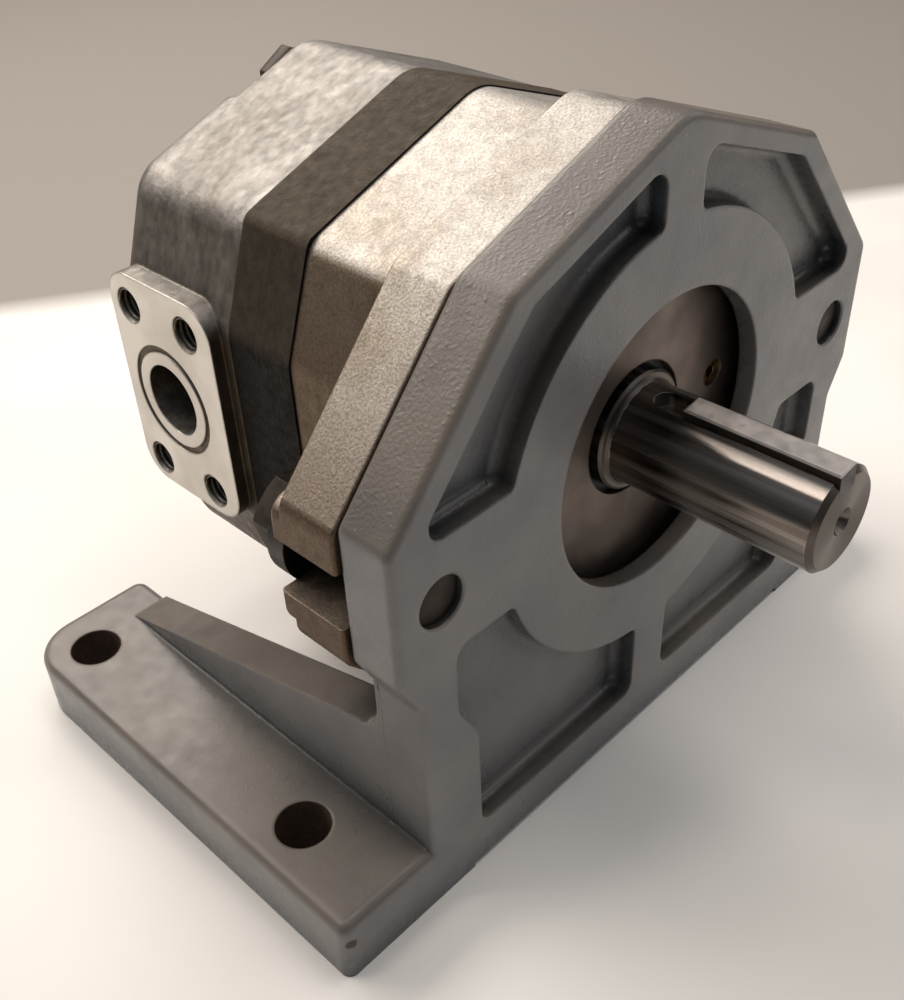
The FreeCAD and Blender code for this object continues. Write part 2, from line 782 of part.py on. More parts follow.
def rear_cover():
    """The rear cover with both ports, the kidneys and the screw seats."""
    cover = outline_prism(body_outline(0.0, cover_shoulder_r), y_cover, y_rear)
    cover = soften(cover, cover_rear_r, edges_at(cover, y_rear))
    ports = ((-1, pressure_bore_dia, pressure_pitch_y, pressure_pitch_z),
             (1, suction_bore_dia, suction_pitch_y, suction_pitch_z))
    for port in ports:
        cover = cover.fuse(port_pad(port[0], port[2], port[3]))
    cover = cover.removeSplitter()
    cuts = clamp_holes(y_cover - cut_past, y_rear + cut_past, clamp_hole_gap)
    for x, z in clamp_places():
        if x == 0:
            cuts.append(clamp_notch(1 if z > 0 else -1))
        else:
            cuts.append(rod(clamp_seat_dia / 2, y_seat, y_rear + cut_past, x, z))
    cuts += dowels_at(y_cover, fit_gap)
    cuts.append(plate_recess(y_cover, 1))
    cuts.append(field_ring(y_cover, 1, fit_gap))
    y_floor = y_cover + side_plate_thickness + side_plate_gap
    cuts.append(rod(rear_bush_r, y_cover, y_floor + bush_length_rear))
    cuts.append(rod(collar_dia / 2 + collar_clearance, y_cover, y_floor + rear_journal))
    cuts.append(stop_pin(fit_gap))
    for side, bore_dia, pitch_y, pitch_z in ports:
        cuts += port_cuts(side, bore_dia, pitch_y, pitch_z)
        cuts.append(port_kidney(side, y_cover, y_port))
    return cover.cut(cuts)


def clamp_notch(side):
    """The open step in the cover's rear edge for the top or bottom screw head."""
    top = side * (body_apex + cut_past)
    floor = side * (clamp_axis_z - clamp_notch_drop)
    half = clamp_notch_half
    points = [(-half, top), (half, top), (half, floor), (-half, floor)]
    return section(points, [0, 0, clamp_notch_r, clamp_notch_r], y_seat, y_rear + cut_past)


def involute(base_r, r):
    """The involute's polar angle where it crosses radius r."""
    roll = math.sqrt(max((r / base_r) ** 2 - 1, 0.0))
    return roll - math.atan(roll)


def gear_blank(teeth, tip_r, root_r, play, y0, y1):
    """An external gear about the shaft axis with one tooth pointing up."""
    pitch_r = gear_module * teeth / 2
    angle = math.radians(pressure_angle)
    base_r = pitch_r * math.cos(angle)
    thickness = gear_module * (math.pi / 2 + 2 * profile_shift * math.tan(angle)) + play
    half = thickness / (2 * pitch_r) + math.tan(angle) - angle
    foot_r = max(base_r, root_r)
    steps = [(i / (flank_points - 1)) ** 1.5 for i in range(flank_points)]
    radii = [foot_r + (tip_r - foot_r) * s for s in steps]

    def polar(r, turn):
        return FreeCAD.Vector(r * math.sin(turn), y0, r * math.cos(turn) + shaft_height)

    edges = []
    pitch = 2 * math.pi / teeth
    for i in range(teeth):
        axis = i * pitch
        rising = [polar(r, axis - half + involute(base_r, r)) for r in radii]
        falling = [polar(r, axis + half - involute(base_r, r)) for r in reversed(radii)]
        next_start = polar(foot_r, axis + pitch - half + involute(base_r, foot_r))
        edges.append(flank(rising))
        edges.append(Part.Arc(rising[-1], polar(tip_r, axis), falling[0]).toShape())
        edges.append(flank(falling))
        root_in = polar(root_r, axis + half - involute(base_r, foot_r))
        root_out = polar(root_r, axis + pitch - half + involute(base_r, foot_r))
        if foot_r > root_r + 1e-6:
            edges.append(Part.LineSegment(falling[-1], root_in).toShape())
        edges.append(Part.Arc(root_in, polar(root_r, axis + pitch / 2), root_out).toShape())
        if foot_r > root_r + 1e-6:
            edges.append(Part.LineSegment(root_out, next_start).toShape())
    return Part.Face(Part.Wire(edges)).extrude(FreeCAD.Vector(0, y1 - y0, 0))


def flank(points):
    """A smooth edge through a tooth flank's points."""
    curve = Part.BSplineCurve()
    curve.interpolate(points)
    return curve.toShape()


def gear_stations():
    """The two faces of both gears."""
    return y_housing + gear_side_gap, y_cover - gear_side_gap


def pinion_shaft():
    """The shaft with its integral pinion, journals, collar and keyway."""
    y0, y1 = gear_stations()
    journal_end = y_cover + side_plate_thickness + side_plate_gap + rear_journal - rear_journal_gap
    shaft = rod(collar_dia / 2, y_collar, y0).fuse(rod(collar_dia / 2, y1, journal_end))
    shaft = shaft.fuse(gear_blank(pinion_teeth, pinion_tip_r, pinion_root_r, -backlash, y0, y1))
    shaft = shaft.fuse(rod(shaft_dia / 2, y_shaft_end + shaft_chamfer, y_collar))
    shaft = shaft.fuse(cone(shaft_dia / 2 - shaft_chamfer, shaft_dia / 2, y_shaft_end,
                            y_shaft_end + shaft_chamfer)).removeSplitter()
    neck = [e for e in edges_at(shaft, y_collar) if abs(e.BoundBox.XLength - shaft_dia) < 1e-3]
    shaft = soften(shaft, min(collar_fillet, collar_step / 2), neck)
    brim = [e for e in edges_at(shaft, y_collar) if abs(e.BoundBox.XLength - collar_dia) < 1e-3]
    shaft = shaft.makeChamfer(min(collar_chamfer, collar_step / 4), brim)
    mouth_depth = (centre_mouth - centre_dia) / 2 * math.sqrt(3)
    centre = cone(centre_mouth / 2, centre_dia / 2, y_shaft_end, y_shaft_end + mouth_depth)
    centre = centre.fuse(rod(centre_dia / 2, y_shaft_end, y_shaft_end + centre_depth))
    return shaft.cut([centre, keyway()])


def turned(shape):
    """A keyway piece turned about the shaft axis to where the key stands."""
    shape.rotate(spot(0, 0, 0), FreeCAD.Vector(0, 1, 0), -key_turn)
    return shape


def keyway():
    """The milled keyway, open at the shaft end and round at its inner end."""
    half = key_width / 2
    end = y_shaft_end + key_length + key_run_out
    floor = shaft_dia / 2 - key_seat
    slot = slab(-half, half, y_shaft_end - cut_past, end - half, floor, shaft_dia)
    round_end = Part.makeCylinder(half, shaft_dia - floor, spot(0, end - half, floor))
    return turned(slot.fuse(round_end))


def shaft_key():
    """The square-ended parallel key."""
    half = key_width / 2 - fit_gap / 2
    floor = shaft_dia / 2 - key_seat + fit_gap / 2
    key = slab(-half, half, y_shaft_end, y_shaft_end + key_length, floor, floor + key_height)
    top = floor + key_height + shaft_height
    edges = [e for e in key.Edges if e.BoundBox.ZMin > top - 1e-4]
    return turned(key.makeChamfer(key_chamfer, edges))


def ring_gear():
    """The internally toothed ring gear, set below the shaft."""
    y0, y1 = gear_stations()
    blank = rod(ring_outer_r, y0, y1)
    blank = blank.makeChamfer(ring_chamfer, edges_at(blank, y0) + edges_at(blank, y1))
    space = gear_blank(ring_teeth, ring_root_r, ring_tip_r, backlash, y0 - cut_past, y1 + cut_past)
    gear = blank.cut(space)
    gear.translate(FreeCAD.Vector(0, 0, ring_z))
    return gear


def crescent_spot(turn, radius):
    """A place on the crescent: turn degrees from straight down about its own centre."""
    t = math.radians(turn)
    return radius * math.sin(t), ring_z / 2 - radius * math.cos(t)


def split_r():
    """Radius of the joint between the two halves of the crescent."""
    inner = pinion_tip_r + crescent_gap
    outer = centre_distance + ring_tip_r - crescent_gap
    return (inner + outer) / 2 + ring_z / 2


def crescent_blank(y0, y1):
    """The whole space between the gears' tip circles, cut to its reach."""
    blank = rod(ring_tip_r - crescent_gap, y0, y1, 0.0, ring_z)
    before, behind = y0 - cut_past, y1 + cut_past
    blank = blank.cut(rod(pinion_tip_r + crescent_gap, before, behind))
    reach = 2 * ring_root_r
    far = math.radians(crescent_reach)
    wedge = [(0.0, ring_z / 2), (-reach * math.sin(far), ring_z / 2 - reach * math.cos(far)),
             (0.0, -2 * reach), (reach * math.sin(far), ring_z / 2 - reach * math.cos(far))]
    blank = blank.common(section(wedge, [0] * 4, before, behind))
    px, pz = stop_pin_place()
    return blank.cut(rod(stop_pin_dia / 2 + stop_pin_seat, before, behind, px, pz))


def stop_pin_place():
    """The stop pin stands at the suction end of the crescent."""
    return crescent_spot(stop_pin_angle, split_r())


def stop_pin(gap):
    """The stop pin, or the cutter for its holes."""
    px, pz = stop_pin_place()
    reach = side_plate_thickness + side_plate_gap + stop_pin_grip + gap
    return rod(stop_pin_dia / 2 + gap, y_housing - reach, y_cover + reach, px, pz)


def crescent_rollers(gap):
    """The sealing rollers between the crescent halves, or their cutters."""
    y0, y1 = gear_stations()
    rollers = []
    for turn in roller_angles:
        x, z = crescent_spot(turn, split_r())
        rollers.append(rod(roller_dia / 2 + gap, y0 - gap, y1 + gap, x, z))
    return rollers


def crescent_springs(gap, thickness):
    """Leaf springs between the crescent halves, or their pockets."""
    y0, y1 = gear_stations()
    inset = spring_inset - gap
    springs = []
    for turn in spring_angles:
        outer = split_r() + crescent_split_gap / 2
        leaf = tube(outer, outer - thickness, y0 + inset, y1 - inset, 0.0, ring_z / 2)
        half = spring_span / 2 / split_r() + math.radians(gap)
        middle = math.radians(turn)
        far = 2 * split_r()
        wedge = [(0.0, ring_z / 2)]
        for t in (middle - half, middle, middle + half):
            wedge.append((far * math.sin(t), ring_z / 2 - far * math.cos(t)))
        springs.append(leaf.common(section(wedge, [0] * 4, y0, y1)))
    return springs


def crescent_half(outer_half):
    """The carrier on the pinion or the sealing segment on the ring gear."""
    y0, y1 = gear_stations()
    blank = crescent_blank(y0, y1)
    gap = crescent_split_gap / 2
    if outer_half:
        half = blank.cut(rod(split_r() + gap, y0, y1, 0.0, ring_z / 2))
        return half.cut(crescent_rollers(fit_gap))
    half = blank.common(rod(split_r() - gap, y0, y1, 0.0, ring_z / 2))
    return half.cut(crescent_rollers(fit_gap) + crescent_springs(spring_play, spring_pocket))


def side_plate(y_face, toward):
    """A side plate with its shaft hole, kidneys and stop pin hole."""
    y_back = y_face + toward * side_plate_thickness
    y0, y1 = min(y_face, y_back), max(y_face, y_back)
    plate = rod(side_plate_r, y0, y1, 0.0, ring_z)
    before, behind = y0 - cut_past, y1 + cut_past
    cuts = [rod(collar_dia / 2 + crescent_gap, before, behind), stop_pin(fit_gap)]
    cuts += [port_kidney(side, before, behind) for side in (1, -1)]
    return plate.cut(cuts)


def plain_bush(outer_r, y0, length):
    """A plain bush for one journal, chamfered inside."""
    y1 = y0 + length
    bush = tube(outer_r - fit_gap / 2, collar_dia / 2 + running_gap, y0, y1)
    inner = [e for e in edges_at(bush, y0) + edges_at(bush, y1)
             if e.BoundBox.XLength < collar_dia + rear_bush_wall]
    return bush.makeChamfer(bush_chamfer, inner)


def plug_place():
    """Where the small plug stands in the pilot face."""
    turn = math.radians(plug_turn)
    return plug_reach * math.cos(turn), plug_reach * math.sin(turn)


def drain_plug():
    """The small brass plug with a hexagon socket in the pilot face."""
    y0 = y_pilot + plug_recess
    plug = rod(plug_dia / 2, y0, y0 + plug_length, *plug_place())
    return plug.cut(hexagon(plug_hex, y0, y0 + plug_hex_depth, *plug_place()))


def bush_station(y_face, toward, length):
    """Where a bush starts behind its side plate."""
    floor = y_face + toward * (side_plate_thickness + side_plate_gap)
    return floor if toward > 0 else floor - length


pieces = {
    "foot_bracket": foot_bracket(),
    "front_flange": front_flange(),
    "gear_housing": gear_housing(),
    "rear_cover": rear_cover(),
    "mounting_bolts": mounting_bolts(),
    "mounting_washers": mounting_washers(),
    "clamp_screws": clamp_screws(),
    "dowel_pins": dowel_pins(),
    "pinion_shaft": pinion_shaft(),
    "shaft_key": shaft_key(),
    "ring_gear": ring_gear(),
    "crescent_carrier": crescent_half(False),
    "crescent_segment": crescent_half(True),
    "crescent_springs": crescent_springs(0.0, spring_thickness),
    "crescent_rollers": crescent_rollers(0.0),
    "crescent_stop_pin": stop_pin(0.0),
    "front_side_plate": side_plate(y_housing, -1),
    "rear_side_plate": side_plate(y_cover, 1),
    "front_field_seal": field_ring(y_housing, -1, 0.0),
    "rear_field_seal": field_ring(y_cover, 1, 0.0),
    "front_bush": plain_bush(front_bush_r, bush_station(y_housing, -1, bush_length_front),
                             bush_length_front),
    "rear_bush": plain_bush(rear_bush_r, bush_station(y_cover, 1, bush_length_rear),
                            bush_length_rear),
    "shaft_seal": shaft_seal(),
    "seal_circlip": seal_circlip(),
    "front_housing_seal": seal_ring(y_housing, 1, housing_seal_gap),
    "rear_housing_seal": seal_ring(y_cover, -1, housing_seal_gap),
    "drain_plug": drain_plug(),
}

os.makedirs("parts", exist_ok=True)
for name, shape in pieces.items():
    solid = Part.makeCompound(shape) if isinstance(shape, list) else shape
    solid.exportStep("parts/" + name + ".step")
    print(name, len(solid.Solids), round(solid.Volume), solid.isValid())
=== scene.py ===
# %% [markdown]
# # Dressing an internal gear pump
# The imported model already holds every shape of the pump at its true size and place. This script adds
# what the solids can't show: painted, cast, milled and ground surfaces, a few small pieces such as cut
# threads, soft light and the camera. It reads the frame first.

# %% Load the frame
import json
import math

import bpy
from mathutils import Matrix, Vector


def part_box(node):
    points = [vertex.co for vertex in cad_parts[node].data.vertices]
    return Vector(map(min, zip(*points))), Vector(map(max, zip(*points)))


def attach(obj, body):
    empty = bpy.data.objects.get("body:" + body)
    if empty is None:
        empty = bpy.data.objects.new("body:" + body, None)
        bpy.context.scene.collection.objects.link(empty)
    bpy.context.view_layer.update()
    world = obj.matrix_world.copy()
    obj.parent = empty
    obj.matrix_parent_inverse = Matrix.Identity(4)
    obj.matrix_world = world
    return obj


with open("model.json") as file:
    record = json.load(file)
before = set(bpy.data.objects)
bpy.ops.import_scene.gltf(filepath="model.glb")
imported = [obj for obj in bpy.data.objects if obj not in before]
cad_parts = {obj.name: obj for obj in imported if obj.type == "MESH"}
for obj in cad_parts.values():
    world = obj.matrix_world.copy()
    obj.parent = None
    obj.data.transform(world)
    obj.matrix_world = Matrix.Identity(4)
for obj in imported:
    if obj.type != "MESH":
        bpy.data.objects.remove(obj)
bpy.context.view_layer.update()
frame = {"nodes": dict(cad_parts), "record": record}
nodes = frame["nodes"]
print("nodes in the frame:", len(nodes))

# %% [markdown]
# Blender works in metres and this pump was drawn in millimetres, so one name turns the one into the
# other. The same goes for patterns: a texture's scale says how many features fit in a metre, and a
# maker thinks of how many millimetres one grain, ring or blotch takes up.

# %% Units
MM = 0.001


def per_metre(size_mm):
    """The scale at which a noise has features of that size."""
    return 1000.0 / size_mm


def ring_scale(spacing_mm):
    """The scale at which the bands of a wave texture are that far apart."""
    return 2 * math.pi / (20 * spacing_mm * MM)


print("a 2 mm grain needs a noise scale of", per_metre(2.0))

# %% [markdown]
# Colours are given as sRGB hex values, and Blender's shaders count in linear light. One
# function turns the one into the other, so every colour below can be compared with a swatch.


# %% Colour
def hex_colour(code):
    """Linear red, green, blue and alpha of an sRGB hex value."""
    parts = [int(code[i:i + 2], 16) / 255 for i in (1, 3, 5)]
    linear = [p / 12.92 if p <= 0.04045 else ((p + 0.055) / 1.055) ** 2.4 for p in parts]
    return (*linear, 1.0)


# %% [markdown]
# A material is a small graph of nodes. One function adds a node, sets its settings, and either links or
# sets each of its inputs. A second one starts a metal or a paint from its plain values and hands back
# the graph.

# %% Node graph helpers
def add_node(tree, kind, inputs=None, **settings):
    """Adds a node with its settings; an input is linked where a socket is given and set otherwise."""
    node = tree.nodes.new(kind)
    for name, value in settings.items():
        setattr(node, name, value)
    for name, value in (inputs or {}).items():
        if isinstance(value, bpy.types.NodeSocket):
            tree.links.new(value, node.inputs[name])
        else:
            node.inputs[name].default_value = value
    return node


def start_finish(name, colour, metallic, roughness):
    """A new material with those plain values: its graph, its shader and the place on the piece."""
    finish = bpy.data.materials.new(name)
    finish.use_nodes = True
    tree = finish.node_tree
    shader = tree.nodes["Principled BSDF"]
    shader.inputs["Base Color"].default_value = hex_colour(colour)
    shader.inputs["Metallic"].default_value = metallic
    shader.inputs["Roughness"].default_value = roughness
    place = add_node(tree, "ShaderNodeTexCoord").outputs["Object"]
    return finish, tree, shader, place


# %% [markdown]
# A finish here is a short recipe of five steps. Most surfaces vary in colour and shine by blotches, so
# a noise of a given size goes through a colour ramp or a map range. Tints that multiply the colour lie
# over it: random stains, and painted light and shade on tops, flanks and corners. Some castings have two
# finishes, such as a rough skin and a turned face, which are mixed by a mask. Last come the softened
# edges and the reliefs, from wide to fine. A Mix node numbers its inputs: 0 is the mask, 2 and 3 are
# numbers, and 6 and 7 are colours.

# %% Steps of a finish
def blotchy_colour(tree, place, size_mm, dark, light, spread=(0.35, 0.65), detail=4.0):
    """A colour that wanders between two tones in blotches of that size."""
    noise = add_node(tree, "ShaderNodeTexNoise",
                     {"Vector": place, "Scale": per_metre(size_mm), "Detail": detail})
    ramp = add_node(tree, "ShaderNodeValToRGB", {"Fac": noise.outputs["Fac"]})
    ramp.color_ramp.elements[0].position = spread[0]
    ramp.color_ramp.elements[0].color = hex_colour(dark)
    ramp.color_ramp.elements[1].position = spread[1]
    ramp.color_ramp.elements[1].color = hex_colour(light)
    return ramp.outputs["Color"]


def blotchy_value(tree, place, size_mm, low, high):
    """A number that wanders between two values in blotches of that size."""
    noise = add_node(tree, "ShaderNodeTexNoise",
                     {"Vector": place, "Scale": per_metre(size_mm), "Detail": 3.0})
    spread = add_node(tree, "ShaderNodeMapRange",
                      {"Value": noise.outputs["Fac"], "From Min": 0.3, "From Max": 0.7,
                       "To Min": low, "To Max": high})
    return spread.outputs["Result"]


def roughened(tree, shader, edge_mm, reliefs):
    """Gives a shader softened edges and reliefs, each a height, its depth and how strong it is."""
    normal = add_node(tree, "ShaderNodeBevel", {"Radius": edge_mm * MM}, samples=6).outputs["Normal"]
    for height, depth_mm, strength in reliefs:
        relief = {"Height": height, "Distance": depth_mm * MM, "Strength": strength, "Normal": normal}
        normal = add_node(tree, "ShaderNodeBump", relief).outputs["Normal"]
    tree.links.new(normal, shader.inputs["Normal"])


def glazed(tree, colour, layers):
    """A colour under see-through layers, each a tint and a mask for how much of it there is."""
    for tint, amount in layers:
        layer = add_node(tree, "ShaderNodeMix", {0: amount, 6: colour, 7: tint},
                         data_type="RGBA", blend_type="MULTIPLY")
        colour = layer.outputs[2]
    return colour


def two_finishes(tree, shader, mask, first, second):
    """Gives a shader one colour and roughness where the mask is 0 and another pair where it is 1."""
    colour = add_node(tree, "ShaderNodeMix", {0: mask, 6: first[0], 7: second[0]}, data_type="RGBA")
    rough = add_node(tree, "ShaderNodeMix", {0: mask, 2: first[1], 3: second[1]})
    tree.links.new(colour.outputs[2], shader.inputs["Base Color"])
    tree.links.new(rough.outputs[0], shader.inputs["Roughness"])


# %% [markdown]
# Some nodes are one casting with several finishes on it, so the finish follows the place. A mask is 1
# where a coordinate is past a plane, or where a point is near an axis, and 0 elsewhere. An axis that
# comes four times, as the foot holes do, is folded into one by taking its coordinates without sign.

# %% Masks by place
def past(tree, value, start_mm, end_mm):
    """A mask that goes from 0 at start to 1 at end along a coordinate."""
    mask = add_node(tree, "ShaderNodeMapRange",
                    {"Value": value, "From Min": start_mm * MM, "From Max": end_mm * MM})
    return mask.outputs["Result"]


def axis_distance(tree, place, centre_mm, plane):
    """How far a place is from an axis; a centre that isn't 0 also counts on the mirrored side."""
    parts = add_node(tree, "ShaderNodeSeparateXYZ", {"Vector": place}).outputs
    flat = []
    for name, middle in zip(plane, centre_mm):
        value = parts[name]
        if middle:
            value = add_node(tree, "ShaderNodeMath", {0: value}, operation="ABSOLUTE").outputs[0]
        shifted = add_node(tree, "ShaderNodeMath", {0: value, 1: middle * MM}, operation="SUBTRACT")
        flat.append(shifted.outputs[0])
    joined = add_node(tree, "ShaderNodeCombineXYZ", {"X": flat[0], "Y": flat[1]})
    length = add_node(tree, "ShaderNodeVectorMath", {0: joined.outputs[0]}, operation="LENGTH")
    return length.outputs["Value"]


# %% [markdown]
# Two more masks come from the shape itself. One follows the upward part of the normal, and the finishes
# use it to paint light on tops and shade on flanks. The other follows how closed in a place is, and the
# enamel uses it to paint shade in corners.

# %% Masks by shape
def facing_up(tree, steep=0.05, level=0.5):
    """A mask by the upward part of the normal: 0 up to steep, and 1 from level on."""
    normal = add_node(tree, "ShaderNodeNewGeometry").outputs["Normal"]
    upward = add_node(tree, "ShaderNodeSeparateXYZ", {"Vector": normal}).outputs["Z"]
    return add_node(tree, "ShaderNodeMapRange",
                    {"Value": upward, "From Min": steep, "From Max": level}).outputs["Result"]


def on_flanks(tree, steep=0.05, level=0.5):
    """The reverse of that mask: 1 on steep faces, and 0 on those that look up."""
    return facing_up(tree, level, steep)


def closed_in(tree, reach_mm):
    """A mask that is 1 deep in a corner and 0 in the open."""
    open_sky = add_node(tree, "ShaderNodeAmbientOcclusion", {"Distance": reach_mm * MM}, samples=8)
    return add_node(tree, "ShaderNodeMapRange",
                    {"Value": open_sky.outputs["AO"], "From Min": 0.85, "From Max": 0.35}).outputs["Result"]


# %% [markdown]
# These are the places that the finishes and small pieces need, in millimetres. The faces are read from
# the parts' own boxes, so a mask stays right if a part grows. The axes and the pilot's height are the
# pump's own sizes, as they were measured for the solids. Where two finishes meet beside a face, they
# change over between the two seam distances from it.

# %% Places on the pump
def box_mm(node):
    """A node's lowest and highest corner in millimetres."""
    low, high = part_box(node)
    return [c / MM for c in low], [c / MM for c in high]


SHAFT_Z = 90.5
PILOT_HEIGHT = 5.8
FOOT_HOLE_X, FOOT_HOLE_Y, FOOT_HOLE_R = 95.25, 44.45, 6.75
SEAM_NEAR, SEAM_FAR = 0.1, 0.3
pilot_face_y = box_mm("front_flange")[0][1]
flange_face_y = pilot_face_y + PILOT_HEIGHT
port_face_x = box_mm("rear_cover")[1][0]
print("pilot face at", round(pilot_face_y, 2), "port faces at", round(port_face_x, 2))

# %% [markdown]
# ## Grey enamel on the bracket
# The bracket is sand-cast iron that was sprayed with a mid-grey enamel. Its drilled foot holes are
# bare, dark and slightly rusty, and a few chips on the edges show iron as well. A chip is a ball round a
# point on an edge. The same noise that draws the rust is added to the ball's radius, so its outline is
# ragged. That needs no painted map, and it stays sharp from near by.

# %% Bare iron
PAINT_CHIPS = [((-106.0, -72.0, 12.0), 2.4), ((-94.0, -72.6, 7.0), 1.1), ((-108.3, -52.0, 14.0), 0.9),
               ((-85.4, -71.0, 82.0), 1.1), ((-108.2, 8.0, 16.0), 1.0), ((-60.0, -72.6, 132.0), 0.8)]
CHIP_RAGGED, CHIP_EDGE = 2.2, 0.4
HOLE_RIM_OUT, HOLE_RIM_IN = 0.2, 0.02
RUST_GRAIN = 1.5


def bare_iron(tree, place):
    """The colour of rusty iron and the mask of where it shows."""
    rust = add_node(tree, "ShaderNodeTexNoise",
                    {"Vector": place, "Scale": per_metre(RUST_GRAIN), "Detail": 4.0}).outputs["Fac"]
    iron = add_node(tree, "ShaderNodeValToRGB", {"Fac": rust})
    iron.color_ramp.elements[0].color = hex_colour("#2A1D17")
    iron.color_ramp.elements[1].color = hex_colour("#6E5747")
    from_hole = axis_distance(tree, place, (FOOT_HOLE_X, FOOT_HOLE_Y), "XY")
    bare = past(tree, from_hole, FOOT_HOLE_R + HOLE_RIM_OUT, FOOT_HOLE_R + HOLE_RIM_IN)
    ragged = add_node(tree, "ShaderNodeMath", {0: rust, 1: CHIP_RAGGED * MM}, operation="MULTIPLY")
    for centre, radius in PAINT_CHIPS:
        away = add_node(tree, "ShaderNodeVectorMath", {0: place, 1: Vector(centre) * MM},
                        operation="DISTANCE")
        uneven = add_node(tree, "ShaderNodeMath", {0: away.outputs["Value"], 1: ragged.outputs[0]},
                          operation="ADD")
        chip = past(tree, uneven.outputs[0], radius + CHIP_EDGE, radius)
        bare = add_node(tree, "ShaderNodeMath", {0: bare, 1: chip}, operation="MAXIMUM").outputs[0]
    return iron.outputs["Color"], bare


print("chips in the paint:", len(PAINT_CHIPS))

# %% [markdown]
# The paint rounds off the sand grain but doesn't hide it, so highlights break up into flecks, as on
# orange peel. The real grain is about 0.7 mm wide. It is drawn a little wider here, so that it still
# shows in a render of this size. A wide, weak swell keeps the flat faces from looking milled, and a
# Voronoi pattern adds small round pimples of trapped sand, in patches. In the photo the foot looks
# smoother than the plate, so the pimples and the grain fade to a third there.

# %% Relief of the paint
PAINT_GRAIN, PIMPLE_SPACING, PIMPLE_PATCH, SWELL = 0.85, 1.9, 3.5, 9.0
FOOT_TOP, PLATE_START = 20.0, 60.0
FOOT_SHARE = 0.3


def paint_relief(tree, place):
    """Swell, pimples and sand grain, each with its depth in millimetres and its strength."""
    swell = add_node(tree, "ShaderNodeTexNoise",
                     {"Vector": place, "Scale": per_metre(SWELL), "Detail": 1.0})
    specks = add_node(tree, "ShaderNodeTexVoronoi", {"Vector": place, "Scale": per_metre(PIMPLE_SPACING)})
    round_tops = add_node(tree, "ShaderNodeMapRange",
                          {"Value": specks.outputs["Distance"], "From Min": 0.3, "From Max": 0.0})
    sown = blotchy_value(tree, place, PIMPLE_PATCH, 0.0, 1.0)
    pimples = add_node(tree, "ShaderNodeMath", {0: round_tops.outputs["Result"], 1: sown},
                       operation="MULTIPLY")
    grain = add_node(tree, "ShaderNodeTexNoise",
                     {"Vector": place, "Scale": per_metre(PAINT_GRAIN), "Detail": 2.0, "Roughness": 0.5,
                      "Distortion": 0.3})
    height = add_node(tree, "ShaderNodeSeparateXYZ", {"Vector": place}).outputs["Z"]
    on_plate = add_node(tree, "ShaderNodeMapRange",
                        {"Value": height, "From Min": FOOT_TOP * MM, "From Max": PLATE_START * MM,
                         "To Min": FOOT_SHARE}).outputs["Result"]
    return [(swell.outputs["Fac"], 0.09, 1.0), (pimples.outputs[0], 0.08, on_plate),
            (grain.outputs["Fac"], 0.09, on_plate)]


# %% [markdown]
# The enamel itself is an even grey. Tops get a little warmer tint, which is painted light. Corners get a
# bluer and darker tint, which is painted shade, and they are made glossier, as if the paint lay thick and
# wet there.

# %% Grey enamel
PAINT_CLOUD, GLOSS_CLOUD = 26.0, 5.0
RECESS_REACH = 18.0


def grey_enamel():
    finish, tree, shader, place = start_finish("grey enamel on cast iron", "#747473", 0.0, 0.34)
    recess = closed_in(tree, RECESS_REACH)
    paint = blotchy_colour(tree, place, PAINT_CLOUD, "#706F70", "#807D7A")
    # Painted light and shade: a warm tint on tops and a darker blue tint in corners.
    paint = glazed(tree, paint, [(hex_colour("#EFE3D6"), facing_up(tree)), (hex_colour("#4C5D6C"), recess)])
    gloss = blotchy_value(tree, place, GLOSS_CLOUD, 0.28, 0.42)
    gloss = add_node(tree, "ShaderNodeMix", {0: recess, 2: gloss, 3: 0.16}).outputs[0]
    iron, bare = bare_iron(tree, place)
    two_finishes(tree, shader, bare, (paint, gloss), (iron, 0.7))
    roughened(tree, shader, 1.2, paint_relief(tree, place))
    return finish


# %% [markdown]
# ## Cast aluminium
# The flange was cast in a sand mould, which leaves a bright, slightly warm grain, half a millimetre
# wide. Its upper slopes keep that colour. Its steeper faces get a darker, browner tint, which is painted
# shade, and towards the bottom, at its ears, it is tinted darker and browner. The pilot, the round part
# that centres it in the bracket, was turned on a lathe. Its dark brown colour is painted shade, since it
# sits deep in the bracket's bore. A lathe feeds about 0.2 mm a turn. The rings are drawn 0.7 mm apart,
# so that they show.

# %% Sand-cast flange
SAND_GRAIN = 0.55
STAIN_CLOUD, OIL_CLOUD = 30.0, 16.0
SLOPE_STEEP, SLOPE_LEVEL = 0.48, 0.68
LOWER_TINT_FROM, LOWER_TINT_FULL = 142.0, 112.0
TURNING_FEED = 0.7


